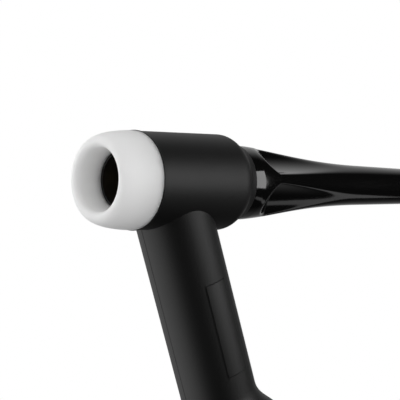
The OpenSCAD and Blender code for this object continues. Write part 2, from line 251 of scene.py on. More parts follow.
def neck_axis():
    sizes, _ = settings()
    lean = sizes.neck_lean
    return (
        Vector((sizes.neck_offset, 0, 0)),
        Vector((math.sin(lean), 0, -math.cos(lean))),
        Vector((-math.cos(lean), 0, -math.sin(lean))),
        Vector((0, 1, 0)),
    )


def rear_face(s):
    """Place along the head's axis of the face that the back cap comes up against."""
    return s.head_length + s.lip_length - s.recess


def plug_end(s):
    """Place along the neck's axis of the end of the rubber plug in the handle."""
    return s.flare_start + s.flare_length + s.band_length + s.plug_length


def place(axis, radius, angle, along):
    origin, run, side, top = axis
    return origin + run * along + side * (radius * math.cos(angle)) + top * (radius * math.sin(angle))


def circle(axis, radius, turns, along):
    """Ring of points round an axis, one at each turn."""
    return [place(axis, radius, turn, along) for turn in turns]


def bend_ends():
    """Places between which the neck bends, from the handle's end to the head's."""
    sizes, _ = settings()
    return place(neck_axis(), 0, 0, sizes.flare_start), place(neck_axis(), 0, 0, sizes.stub_end)


def skin(rings, loop=False, marks=None):
    """Mesh data over rings of points; a ring of one point is a pole. marks(row, column) picks materials."""
    points, faces, starts, slots = [], [], [], []
    for ring in rings:
        starts.append(len(points))
        points += ring
    count = len(rings)
    for a in range(count if loop else count - 1):
        b = (a + 1) % count
        sides = max(len(rings[a]), len(rings[b]))
        for i in range(sides):
            corners = []
            for ring, k in ((a, i), (a, i + 1), (b, i + 1), (b, i)):
                index = starts[ring] + k % len(rings[ring])
                if index not in corners:
                    corners.append(index)
            if len(corners) > 2:
                faces.append(corners)
                slots.append(marks(a, i) if marks else 0)
    return points, faces, slots


def turned(axis, outline, segments, loop=False):
    """Rings of an outline of (radius, along) points turned round an axis; radius 0 is a pole."""
    turns = [math.tau * i / segments for i in range(segments)]
    rings = [circle(axis, radius, turns if radius else [0], along) for radius, along in outline]
    return skin(rings, loop)


def make_object(name, data, materials, sharp=35.0):
    """Object at the origin, with closed outward faces, smooth but for its sharp edges."""
    points, faces, slots = data
    mesh = bpy.data.meshes.new(name)
    mesh.from_pydata([tuple(p) for p in points], [], faces)
    for material in materials:
        mesh.materials.append(material)
    mesh.polygons.foreach_set("material_index", slots)
    piece = bpy.data.objects.new(name, mesh)
    bpy.context.scene.collection.objects.link(piece)
    smooth(piece, sharp)
    return piece


def smooth(piece, sharp=35.0):
    edit = bmesh.new()
    edit.from_mesh(piece.data)
    bmesh.ops.remove_doubles(edit, verts=edit.verts, dist=1e-7)
    bmesh.ops.recalc_face_normals(edit, faces=edit.faces)
    if edit.calc_volume(signed=True) < 0:
        bmesh.ops.reverse_faces(edit, faces=edit.faces)
    for face in edit.faces:
        face.smooth = True
    for edge in edit.edges:
        edge.smooth = edge.is_manifold and edge.calc_face_angle(0) < math.radians(sharp)
    edit.to_mesh(piece.data)
    edit.free()


def settle(piece):
    """Turns a piece with modifiers into a plain mesh and removes them."""
    graph = bpy.context.evaluated_depsgraph_get()
    mesh = bpy.data.meshes.new_from_object(piece.evaluated_get(graph))
    piece.modifiers.clear()
    old = piece.data
    piece.data = mesh
    bpy.data.meshes.remove(old)
    mesh.name = piece.name


def combine(piece, other, operation):
    """Adds another closed piece to this one, or takes it away."""
    cutter = piece.modifiers.new(operation, "BOOLEAN")
    cutter.operation = operation
    cutter.solver = "MANIFOLD"
    cutter.object = other
    settle(piece)
    bpy.data.objects.remove(other)


def check_closed(piece):
    edit = bmesh.new()
    edit.from_mesh(piece.data)
    loose = sum(1 for edge in edit.edges if not edge.is_manifold)
    faces = len(edit.faces)
    edit.free()
    print(piece.name, "faces", faces, "open edges", loose)
    if loose or not faces:
        raise RuntimeError(f"{piece.name} has {loose} open edges")


# ---------------- materials


def new_material(name):
    """Material with an empty node tree, and the object's own coordinates in it."""
    material = bpy.data.materials.new(name)
    material.use_nodes = True
    tree = material.node_tree
    tree.nodes.clear()
    return material, tree, add(tree, "ShaderNodeTexCoord").outputs["Object"]


def noise(tree, where, scale, detail):
    return add(tree, "ShaderNodeTexNoise", {"Vector": where, "Scale": scale, "Detail": detail})


def between(tree, share, low, high):
    """Turns a share from 0 to 1 into a value from low to high."""
    return add(tree, "ShaderNodeMapRange", {"Value": share, "To Min": low, "To Max": high})


def relief(tree, height, strength, depth):
    """Bumps of a depth in millimetres."""
    return add(tree, "ShaderNodeBump", {"Height": height, "Strength": strength, "Distance": depth * MM})


def finish_material(tree, colour_value, sheen, bump, others):
    """Ends a material in a surface of this colour, roughness and relief."""
    inputs = {"Base Color": colour_value, "Roughness": sheen, "Normal": bump, **others}
    shader = add(tree, "ShaderNodeBsdfPrincipled", inputs)
    add(tree, "ShaderNodeOutputMaterial", {"Surface": shader})


def moulded_rubber(name, colour_value, smoothed):
    """Black silicone or nitrile rubber. A spark-eroded mould leaves a fine satin grain about 0.3 mm
    across; a polished mould, or a polished part of one, leaves it smoother and a little lighter."""
    material, tree, where = new_material(name)
    low, high, strength = (0.44, 0.48, 0.10) if smoothed else (0.50, 0.55, 0.35)
    sheen = between(tree, noise(tree, where, scale=90.0, detail=3.0), low, high)
    bump = relief(tree, noise(tree, where, scale=3200.0, detail=2.0), strength, depth=0.04)
    finish_material(tree, colour_value, sheen, bump, {"IOR": 1.43})
    return material


def turned_ptfe(colour_value):
    """White PTFE turned on a lathe: a soft satin surface with shallow feed marks 0.3 mm apart.
    Light goes right into it and spreads over several millimetres."""
    material, tree, where = new_material("turned_ptfe")
    along = add(tree, "ShaderNodeSeparateXYZ", {0: where}).outputs["X"]
    marks = maths(tree, "SINE", maths(tree, "MULTIPLY", along, math.tau / (0.3 * MM)))
    sheen = between(tree, noise(tree, where, scale=260.0, detail=3.0), low=0.42, high=0.52)
    bump = relief(tree, marks, strength=0.08, depth=0.01)
    skin_light = {"Subsurface Radius": (1.0, 1.0, 1.0), "Subsurface Scale": 8.0 * MM}
    optics = {"IOR": 1.36, "Subsurface Weight": 0.85, **skin_light}
    finish_material(tree, colour_value, sheen, bump, optics)
    return material


def moulded_phenolic(colour_value):
    """Black phenolic pressed in a polished mould: a hard gloss that ripples very slightly."""
    material, tree, where = new_material("moulded_phenolic")
    sheen = between(tree, noise(tree, where, scale=900.0, detail=4.0), low=0.07, high=0.11)
    bump = relief(tree, noise(tree, where, scale=160.0, detail=2.0), strength=0.10, depth=0.1)
    finish_material(tree, colour_value, sheen, bump, {"IOR": 1.60})
    return material


def glass_filled_nylon(colour_value):
    """Black glass-filled nylon: an eroded mould gives it a fine grain, and the fibres a dry sheen."""
    material, tree, where = new_material("glass_filled_nylon")
    sheen = between(tree, noise(tree, where, scale=60.0, detail=3.0), low=0.42, high=0.54)
    bump = relief(tree, noise(tree, where, scale=2400.0, detail=3.0), strength=0.4, depth=0.05)
    finish_material(tree, colour_value, sheen, bump, {"IOR": 1.53})
    return material


def worked_metal(name, colour_value, feed, rough):
    """Brass or copper as it leaves the lathe or the drawing die: fine lines run round or along it,
    and a thin film of oxide dulls it in patches."""
    material, tree, where = new_material(name)
    stretch = add(tree, "ShaderNodeMapping", {"Vector": where, "Scale": feed})
    cloud = noise(tree, where, scale=220.0, detail=4.0)
    sheen = between(tree, cloud, rough, rough + 0.14)
    tinted = add(
        tree,
        "ShaderNodeMix",
        {"Factor": 1.0, "A": colour_value, "B": between(tree, cloud, low=0.85, high=1.05)},
        {"data_type": "RGBA", "blend_type": "MULTIPLY"},
    )
    bump = relief(tree, noise(tree, stretch, scale=1.0, detail=3.0), strength=0.2, depth=0.02)
    finish_material(tree, tinted.outputs["Result"], sheen, bump, {"Metallic": 1.0})
    return material


# ---------------- geometry nodes


def grooved_sleeve():
    """Node tree of a round sleeve along X whose surface has grooves: rings, or one long screw thread.
    Floor start and floor end are shares of the pitch; the flanks lie outside them."""
    tree = bpy.data.node_groups.new("grooved_sleeve", "GeometryNodeTree")
    tree.interface.new_socket("Geometry", in_out="OUTPUT", socket_type="NodeSocketGeometry")
    for name in ("Length", "Radius", "Depth", "Pitch", "Flank", "Floor start", "Floor end", "Helix"):
        tree.interface.new_socket(name, in_out="INPUT", socket_type="NodeSocketFloat")
    for name in ("Rows", "Segments"):
        tree.interface.new_socket(name, in_out="INPUT", socket_type="NodeSocketInt")
    tree.interface.new_socket("Material", in_out="INPUT", socket_type="NodeSocketMaterial")
    given = add(tree, "NodeGroupInput").outputs
    cells = {"Vertices X": given["Rows"], "Vertices Y": given["Segments"]}
    grid = add(tree, "GeometryNodeMeshGrid", {"Size X": given["Length"], "Size Y": math.tau, **cells})
    spot = add(tree, "ShaderNodeSeparateXYZ", {0: add(tree, "GeometryNodeInputPosition")})
    along = maths(tree, "ADD", spot.outputs["X"], maths(tree, "MULTIPLY", given["Length"], 0.5))
    angle = spot.outputs["Y"]
    turns = maths(tree, "MULTIPLY", maths(tree, "DIVIDE", angle, math.tau), given["Helix"])
    pitches = maths(tree, "DIVIDE", along, given["Pitch"])
    phase = maths(tree, "FRACT", maths(tree, "SUBTRACT", pitches, turns))
    top_end = maths(tree, "SUBTRACT", given["Floor start"], given["Flank"])
    top_start = maths(tree, "ADD", given["Floor end"], given["Flank"])
    fall = slope(tree, phase, top_end, given["Floor start"])
    rise = slope(tree, phase, given["Floor end"], top_start)
    cut = maths(tree, "MULTIPLY", maths(tree, "SUBTRACT", fall, rise), given["Depth"])
    radius = maths(tree, "SUBTRACT", given["Radius"], cut)
    across = maths(tree, "MULTIPLY", radius, maths(tree, "COSINE", angle))
    up = maths(tree, "MULTIPLY", radius, maths(tree, "SINE", angle))
    rolled = add(tree, "ShaderNodeCombineXYZ", {"X": along, "Y": across, "Z": up})
    shaped = add(tree, "GeometryNodeSetPosition", {"Geometry": grid, "Position": rolled})
    closed = add(tree, "GeometryNodeMergeByDistance", {"Geometry": shaped, "Distance": 1e-6})
    real = add(tree, "GeometryNodeRealizeInstances", {"Geometry": closed})
    done = add(tree, "GeometryNodeSetMaterial", {"Geometry": real, "Material": given["Material"]})
    add(tree, "NodeGroupOutput", {"Geometry": done})
    return tree


def make_sleeve(values, material):
    """Sleeve along X from the node tree, as a plain open mesh."""
    tree = bpy.data.node_groups.get("grooved_sleeve") or grooved_sleeve()
    piece = bpy.data.objects.new("sleeve", bpy.data.meshes.new("sleeve"))
    bpy.context.scene.collection.objects.link(piece)
    modifier = piece.modifiers.new("grooves", "NODES")
    modifier.node_group = tree
    sockets = {item.name: item.identifier for item in tree.interface.items_tree if item.in_out == "INPUT"}
    for name, value in {**values, "Material": material}.items():
        modifier[sockets[name]] = value
    settle(piece)
    return piece


def plain_rings(axis, outline):
    """Rings of (radius, along) points, with as many sides as the threads have."""
    return [circle(axis, radius, TURNS, along) for radius, along in outline]


def thread_rings(axis, material, bound, start, end, radius, depth, pitch, flank):
    """Rings of a right-handed screw thread. The bound keeps each radius within its limits, as a
    chamfer does."""
    rows_a_turn = 14
    rows = round(rows_a_turn * (end - start) / pitch)
    values = {"Length": end - start, "Radius": radius, "Depth": depth, "Pitch": pitch, "Flank": flank}
    values.update({"Floor start": 0.46, "Floor end": 0.54, "Helix": 1.0})
    values.update({"Rows": rows + 1, "Segments": THREAD_SIDES + 1})
    piece = make_sleeve(values, material)
    found = {}
    for vertex in piece.data.vertices:
        along, first, second = vertex.co
        side = round(math.atan2(second, first) / math.tau * THREAD_SIDES) % THREAD_SIDES
        found[round(along / (end - start) * rows), side] = math.hypot(first, second)
    bpy.data.objects.remove(piece)
    rings = []
    for row in range(rows + 1):
        along = mix(start, end, row / rows)
        reaches = [bound(found[row, side], along) for side in range(THREAD_SIDES)]
        rings.append([place(axis, reach, turn, along) for reach, turn in zip(reaches, TURNS)])
    return rings


# ---------------- pieces


def add_camera(scene):
    """Long lens, level with the head, in front of it on the left."""
    data = bpy.data.cameras.new("camera")
    data.sensor_width = 36.0
    data.lens = 116.374
    data.clip_start = 0.01
    camera = bpy.data.objects.new("camera", data)
    camera.location = (-0.20803, -0.25005, -0.00239)
    camera.rotation_euler = [math.radians(a) for a in (89.596, -0.950, -42.798)]
    scene.collection.objects.link(camera)
    scene.camera = camera


def add_lamps(scene):
    """Soft boxes that face the head; the key box doesn't show in glossy surfaces."""
    aim = Vector((0.015, 0, 0))
    # Name, centre, width, height, power
    boxes = (
        ("right_box", (0.209, -0.336, 0.052), 0.345, 0.270, 0.93),
        ("low_strip", (0.375, -0.166, -0.258), 0.240, 0.040, 0.015),
        ("key_box", (-0.49, -0.28, 0.20), 0.30, 0.30, 0.42),
    )
    for name, centre, width, height, power in boxes:
        lamp = bpy.data.lights.new(name, "AREA")
        lamp.shape = "RECTANGLE"
        lamp.size = width
        lamp.size_y = height
        lamp.energy = power
        holder = bpy.data.objects.new(name, lamp)
        holder.location = centre
        holder.rotation_euler = (aim - Vector(centre)).to_track_quat("-Z", "Y").to_euler()
        holder.visible_camera = False
        holder.visible_glossy = name != "key_box"
        scene.collection.objects.link(holder)


def add_surround(scene):
    """White to the camera; on the torch, a white sheet behind and a dark room in front."""
    world = bpy.data.worlds.new("studio")
    scene.world = world
    world.use_nodes = True
    tree = world.node_tree
    tree.nodes.clear()
    ray = add(tree, "ShaderNodeLightPath").outputs
    way = add(tree, "ShaderNodeTexCoord").outputs["Generated"]
    parts = add(tree, "ShaderNodeSeparateXYZ", {0: way}).outputs
    x, y, z = (parts[axis] for axis in "XYZ")

    # The sheet comes round on the left and is brighter there; it is dim under the right-hand side
    twist, matt_share = 0.125, 0.75
    turned_way = maths(tree, "SUBTRACT", y, maths(tree, "MULTIPLY", x, twist))
    behind = slope(tree, turned_way, start=-0.26, end=0.31, low=0.0, high=SHEET)
    behind = maths(tree, "MULTIPLY", behind, slope(tree, x, start=-0.4, end=0.3, low=1.5, high=0.6))
    low_part = slope(tree, z, start=-0.6, end=0.0, low=0.8, high=0.0)
    right_part = slope(tree, x, start=-0.4, end=0.2)
    dimmed = maths(tree, "SUBTRACT", 1.0, maths(tree, "MULTIPLY", low_part, right_part))
    shiny = maths(tree, "ADD", maths(tree, "MULTIPLY", behind, dimmed), ROOM)
    matt = maths(tree, "MAXIMUM", maths(tree, "MULTIPLY", shiny, matt_share), FILL)
    choice = {"Factor": ray["Is Diffuse Ray"], "A": shiny, "B": matt}
    room = add(tree, "ShaderNodeMix", choice).outputs["Result"]
    seen = maths(tree, "MAXIMUM", ray["Is Camera Ray"], ray["Is Transmission Ray"])
    unseen = maths(tree, "SUBTRACT", 1.0, seen)
    level = maths(tree, "MAXIMUM", seen, maths(tree, "MULTIPLY", room, unseen))
    white = add(tree, "ShaderNodeBackground", {"Color": (1, 1, 1, 1), "Strength": level})
    add(tree, "ShaderNodeOutputWorld", {"Surface": white})


def add_floor(scene, colours):
    """Round floor just under the handle that fades into the white surround."""
    middle = Vector((0.5 * (CAD_BOX[0][0] + CAD_BOX[1][0]), 0, CAD_BOX[0][2] - 0.5 * MM))
    ground = (middle, Vector((0, 0, 1)), Vector((1, 0, 0)), Vector((0, 1, 0)))
    radius, sides = 0.45, 96
    outline = [(radius * share, 0) for share in (0, 0.25, 0.5, 0.75, 1.0)]
    points, faces, _ = turned(ground, outline, sides)
    mesh = bpy.data.meshes.new("floor")
    mesh.from_pydata([tuple(p) for p in points], [], faces)
    material, tree, where = new_material("painted_floor")
    away = add(tree, "ShaderNodeVectorMath", {0: where, 1: middle}, {"operation": "DISTANCE"})
    fade = slope(tree, away.outputs["Value"], start=0.45 * radius, end=0.98 * radius)
    ray = add(tree, "ShaderNodeLightPath").outputs
    shown = maths(tree, "MULTIPLY", ray["Is Camera Ray"], fade)
    paint = add(tree, "ShaderNodeBsdfPrincipled", {"Base Color": colours.floor, "Roughness": 0.8})
    sheet = add(tree, "ShaderNodeEmission", {"Color": (1, 1, 1, 1), "Strength": 1.0})
    both = add(tree, "ShaderNodeMixShader", {0: shown, 1: paint, 2: sheet})
    add(tree, "ShaderNodeOutputMaterial", {"Surface": both})
    mesh.materials.append(material)
    floor = bpy.data.objects.new("floor", mesh)
    scene.collection.objects.link(floor)
    if mesh.polygons[0].normal.z < 0:
        mesh.flip_normals()
    # The floor is left out of reflections and bounced light, as if dark card lay round the torch
    floor.visible_glossy = False
    floor.visible_diffuse = False


class TORCH_OT_stage(bpy.types.Operator):
    """Sets up the floor, the white surround, the soft boxes and the camera"""

    bl_idname = "torch.stage"
    bl_label = "Stage"

    def execute(self, context):
        _, colours = settings()
        scene = context.scene
        scene.view_settings.view_transform = "Standard"
        add_camera(scene)
        add_lamps(scene)
        add_surround(scene)
        add_floor(scene, colours)
        return {"FINISHED"}


def head_outline(s):
    """Outline of the head: spigot, bead, thick part with its round rear edge, hollow and lip."""
    crest = s.bead_height / 0.75  # a cubic reaches three quarters of the height of its handles
    edge = (s.head_rear_radius - s.head_edge, s.head_length - s.head_edge)
    down, along = math.sin(s.edge_turn), math.cos(s.edge_turn)
    shoulder = arc(edge, s.head_edge, 0, math.degrees(s.edge_turn), 16)
    pull = 0.25 * s.head_edge
    hollow = (shoulder[-1][0] - pull * down, shoulder[-1][1] + pull * along)
    lip_end = s.head_length + s.lip_length
    lip = (s.lip_radius, lip_end - s.lip_edge)
    flare = math.radians(12)
    pull = 0.55 * s.lip_length
    before = (lip[0] + pull * math.sin(flare), lip[1] - pull * math.cos(flare))
    return (
        [(0, -s.spigot_length), (s.spigot_radius, -s.spigot_length), (s.spigot_radius, 0)]
        + bezier(
            (s.head_radius, 0),
            (s.head_radius + crest, 0),
            (s.head_radius + crest, s.bead_width),
            (s.head_radius, s.bead_width),
        )
        + shoulder
        + bezier(shoulder[-1], hollow, before, lip)[1:]
        + arc((lip[0] - s.lip_edge, lip[1]), s.lip_edge, 0, 90, 8)[1:]
        + [(0, lip_end)]
    )


def foot_outline(s):
    """Outline of the flare, the band in front of the handle, and the plug with its three rings."""
    flare_end = s.flare_start + s.flare_length
    base_end = flare_end + s.band_length
    corner, ring_width, ring_height = 0.4 * MM, 1.6 * MM, 0.5 * MM
    crest = s.plug_radius - FIT
    root = crest - ring_height
    outline = bezier(
        (s.neck_radius, s.flare_start),
        (s.neck_radius, s.flare_start + 0.45 * s.flare_length),
        (s.band_radius, s.flare_start + 0.55 * s.flare_length),
        (s.band_radius, flare_end),
        28,
    )
    outline += [(s.band_radius, base_end - corner), (s.band_radius - corner, base_end), (root, base_end)]
    pitch = (s.plug_length - ring_width) / 3
    for i in range(3):
        low = base_end + (i + 0.5) * pitch
        high = low + ring_width
        outline += [(root, low), (crest, low), (crest, high), (root, high)]
    return outline + [(root, plug_end(s))]


def neck_skin(s):
    """Outer skin of the neck: plain rings, with the parting line and the panel raised on them."""
    axis = neck_axis()
    panel = (s.panel_start, s.panel_start + s.panel_length)
    soft = 0.12 * MM  # half the width of the slope at the panel's edge
    spacing = 1.0 * MM
    heights = [3 * MM]  # starts inside the head
    while heights[-1] < s.flare_start - 1.2 * spacing:
        heights.append(heights[-1] + spacing)
    for edge in panel:
        heights = [h for h in heights if abs(h - edge) > 0.5 * spacing]
        heights += [edge - soft, edge + soft]
    heights.sort()
    rows = [(s.neck_radius, h) for h in heights] + foot_outline(s)

    # Round the neck, the parting line's two sides and the panel's edges get columns of their own
    line, line_half = math.radians(9), 0.5 * s.line_width / s.neck_radius
    lines = (line, line - math.pi)
    panel_middle, panel_half = -0.5 * math.pi, math.radians(19.5)
    panel_soft = soft / s.neck_radius
    specials = []
    for centre in lines:
        specials += [centre + line_half * k for k in (-1, -0.6, -0.3, 0, 0.3, 0.6, 1)]
    for side in (-1, 1):
        specials += [panel_middle + side * panel_half + panel_soft * k for k in (-1, 1)]
    angles = [math.radians(a) for a in range(-180, 180, 2)]
    angles = [a for a in angles if min(abs(a - b) for b in specials) > math.radians(0.6)] + specials
    angles.sort()

    def in_panel(angle, height):
        return abs(angle - panel_middle) < panel_half and panel[0] < height < panel[1]

    def lift(angle, height):
        for centre in lines:
            off = abs((angle - centre + math.pi) % math.tau - math.pi) / line_half
            if off < 1:
                return s.line_height * 0.5 * (1 + math.cos(math.pi * off))
        return s.panel_height if in_panel(angle, height) else 0

    rings = [[place(axis, 0, 0, rows[0][1])]]
    for radius, height in rows:
        raised = height < s.flare_start + s.flare_length
        lifts = [lift(a, height) if raised else 0 for a in angles]
        rings.append([place(axis, radius + up, a, height) for up, a in zip(lifts, angles)])
    rings.append([place(axis, 0, 0, rows[-1][1])])

    def marks(row, column):
        if row == 0 or row >= len(rows):
            return 0
        middle = 0.5 * (rows[row - 1][1] + rows[row][1])
        nearby = angles[column] + math.radians(0.3)
        return 1 if in_panel(nearby, middle) else 0

    return skin(rings, marks=marks)


def neck_bores(s):
    """Name, axis, radius, start and end of each bore."""
    past = 1.0 * MM  # how far a bore runs out past its mouth
    collar = plug_end(s) - s.collar_length
    lip_end = s.head_length + s.lip_length
    head, neck = head_axis(), neck_axis()
    return (
        ("socket_bore", head, s.socket_radius, -s.spigot_length - past, s.core_setback + 0.2 * MM),
        ("core_bore", head, s.core_radius, s.core_setback, lip_end + past),
        ("collar_recess", head, s.cap_radius + 0.15 * MM, rear_face(s), lip_end + past),
        ("boss_bore", neck, s.tube_radius + s.boss_wall, 0.0, s.boss_end),
        ("tube_bore", neck, s.tube_radius, 5 * MM, collar + 0.5 * MM),
        ("collar_bore", neck, s.collar_radius, collar, plug_end(s) + past),
    )


class TORCH_OT_neck_moulding(bpy.types.Operator):
    """Moulds the rubber head, neck, flare and plug in one piece"""

    bl_idname = "torch.neck_moulding"
    bl_label = "Rubber moulding"

    def execute(self, context):
        sizes, colours = settings()
        rubber = moulded_rubber("silicone_rubber", colours.rubber, False)
        polished = moulded_rubber("silicone_rubber_smooth", colours.rubber, True)
        finishes = (rubber, polished)

        outline = head_outline(sizes)
        head = make_object("neck_moulding", turned(head_axis(), outline, sizes.segments), finishes)
        neck = make_object("neck_outer", neck_skin(sizes), finishes)
        combine(head, neck, "UNION")
        for name, axis, radius, start, end in neck_bores(sizes):
            # Only the tube's bore gets a ring every millimetre; the other bores have just their two ends
            rows = round((end - start) / MM) if name == "tube_bore" else 1
            wall = [(radius, mix(start, end, i / rows)) for i in range(rows + 1)]
            data = turned(axis, [(0, start)] + wall + [(0, end)], 96)
            combine(head, make_object(name, data, finishes), "DIFFERENCE")
        smooth(head, 32.0)
        check_closed(head)

        start, end = bend_ends()
        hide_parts("head_cover", "neck_cover", "neck_base")
        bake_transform(head)
        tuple(start)
        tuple(end)
        return {"FINISHED"}


class TORCH_OT_neck_tube(bpy.types.Operator):
    """Makes the soft copper tube that runs through the neck"""

    bl_idname = "torch.neck_tube"
    bl_label = "Neck tube"

    def execute(self, context):
        s, colours = settings()
        axis = neck_axis()
        top = s.boss_end - s.boss_seat
        end = plug_end(s) - 0.5 * s.collar_length
        rows = round((end - top) / MM)
        outline = [(s.tube_radius, mix(top, end, i / rows)) for i in range(rows + 1)]
        outline += [(s.tube_bore, mix(end, top, i / rows)) for i in range(rows + 1)]
        copper = worked_metal("drawn_copper", colours.copper, feed=(2500.0, 2500.0, 90.0), rough=0.30)
        tube = make_object("copper_tube", turned(axis, outline, 64, True), (copper,))
        check_closed(tube)
        start, end = bend_ends()
        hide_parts("neck_tube")
        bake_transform(tube)
        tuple(start)
        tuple(end)
        return {"FINISHED"}


class TORCH_OT_front_insulator(bpy.types.Operator):
    """Turns the white front insulator with its full round rim"""

    bl_idname = "torch.front_insulator"
    bl_label = "Front insulator"

    def execute(self, context):
        s, colours = settings()
        side = s.head_radius + 0.07 * MM  # a little proud of the head
        seat = s.spigot_radius + FIT
        depth = -s.spigot_length - FIT
        centre = (s.insulator_bore + s.rim_radius, s.rim_radius - s.insulator_length)
        rim_start = 62
        start = math.radians(rim_start)
        meet = (centre[0] + s.rim_radius * math.sin(start), centre[1] - s.rim_radius * math.cos(start))
        pull = 1.13 * s.rim_radius
        outline = bezier(
            (side, -FIT),
            (0.989 * side, -0.44 * s.insulator_length),
            (meet[0] + pull * math.cos(start), meet[1] + pull * math.sin(start)),
            meet,
            32,
        )
        outline += arc(centre, s.rim_radius, rim_start - 90, -90, 20)[1:]
        # The rim's inner quarter is narrower than a circle's, which opens the bore's mouth
        narrow = 1 - s.mouth_widening / s.rim_radius
        for radius, along in arc(centre, s.rim_radius, -90, -180, 20)[1:]:
            outline.append((mix(centre[0], radius, narrow), along))
        mouth = outline[-1]
        outline += [(mix(mouth[0], s.insulator_bore, k), mix(mouth[1], depth, k)) for k in (0.35, 0.7, 1.0)]
        outline += [(seat, depth), (seat, -FIT)]
        data = turned(head_axis(), outline, 256, True)
        insulator = make_object("front_insulator_ring", data, (turned_ptfe(colours.ptfe),))
        check_closed(insulator)
        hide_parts("front_insulator")
        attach(insulator, "insulator")
        return {"FINISHED"}


def cap_outlines(s):
    """Outlines of the cap before its flutes: nose and crowned collar, then taper and stem."""
    rear = rear_face(s)
    gap = 0.15 * MM
    front, crown = rear + gap, rear + 4.8 * MM
    taper_length = 46 * MM
    drop = s.cap_radius - s.stem_radius
    nose = s.core_radius - 0.4 * MM
    collar = [(nose, rear - s.nose_length), (nose, front - gap)]
    collar += bezier(
        (0.945 * s.cap_radius, front),
        (0.985 * s.cap_radius, front),
        (s.cap_radius, crown - 2.88 * MM),
        (s.cap_radius, crown),
        24,
    )
    taper = bezier(
        (s.cap_radius, crown),
        (s.cap_radius - 0.17 * drop, crown + 0.26 * taper_length),
        (s.stem_radius + 0.146 * drop, crown + 0.48 * taper_length),
        (s.stem_radius, crown + taper_length),
        64,
    )
    return collar, taper + [(s.stem_end_radius, rear + s.cap_length - s.stem_end_radius)]


def cap_rows(s):
    """(radius, x) of every ring: close together where the flutes start."""
    rows, taper = cap_outlines(s)
    front = rear_face(s) + s.flute_front
    x, end = rows[-1][1], taper[-1][1]
    # Up to each place, the distance from ring to ring
    steps = (
        (front - s.flute_dome + 2.4 * MM, 0.25 * MM),
        (front + 0.8 * MM, 0.1 * MM),
        (s.head_length + 54 * MM, 0.4 * MM),
        (end, 2.0 * MM),
    )
    while x < end - 2.5 * MM:
        x += next(step for limit, step in steps if x < limit)
        rows.append((at_height(taper, x), x))
    return rows + arc((0, end), s.stem_end_radius, 0, 90, 16)[:-1]


def cap_surface(s, angle, x, radius):
    """Radius of the cap at an angle, with the flutes cut into it and their edges softened."""
    front = rear_face(s) + s.flute_front
    ball = (s.flute_radius**2 + s.flute_dome**2) / (2 * s.flute_dome)
    cutter = s.flute_radius
    if x < front:
        reach = ball * ball - (x - (front - s.flute_dome + ball)) ** 2
        if reach <= 0:
            return radius
        cutter = min(s.flute_radius, math.sqrt(reach))
    share = math.tau / s.flute_count
    off = (angle - s.flute_turn + 0.5 * share) % share - 0.5 * share
    axis_distance = s.flute_floor + s.flute_radius
    inside = cutter**2 - (axis_distance * math.sin(off)) ** 2
    if inside <= 0:
        return radius
    cut = axis_distance * math.cos(off) - math.sqrt(inside)
    gap = abs(radius - cut) / s.edge_softness
    return min(radius, cut) - s.edge_softness * math.log1p(math.exp(-gap))


class TORCH_OT_back_cap(bpy.types.Operator):
    """Presses the long back cap: crowned collar, thumb flutes, tapered shoulder, stem"""

    bl_idname = "torch.back_cap"
    bl_label = "Back cap"

    def execute(self, context):
        s, colours = settings()
        axis = head_axis()
        columns = 288
        turns = [math.tau * i / columns for i in range(columns)]
        rear = rear_face(s)
        face, tip = rear - s.nose_length, rear + s.cap_length
        bottom = tip - 8 * MM  # of the bore
        step = face + s.insert_depth
        inner = [(s.cap_bore, bottom), (s.cap_bore, step), (s.insert_radius, step), (s.insert_radius, face)]
        rings = [[place(axis, 0, 0, bottom)]] + [circle(axis, radius, turns, x) for radius, x in inner]
        for radius, x in cap_rows(s):
            rings.append([place(axis, cap_surface(s, turn, x, radius), turn, x) for turn in turns])
        rings.append([place(axis, 0, 0, tip)])
        cap = make_object("long_back_cap", skin(rings), (moulded_phenolic(colours.phenolic),), 50.0)
        check_closed(cap)
        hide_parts("back_cap")
        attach(cap, "back_cap")
        return {"FINISHED"}


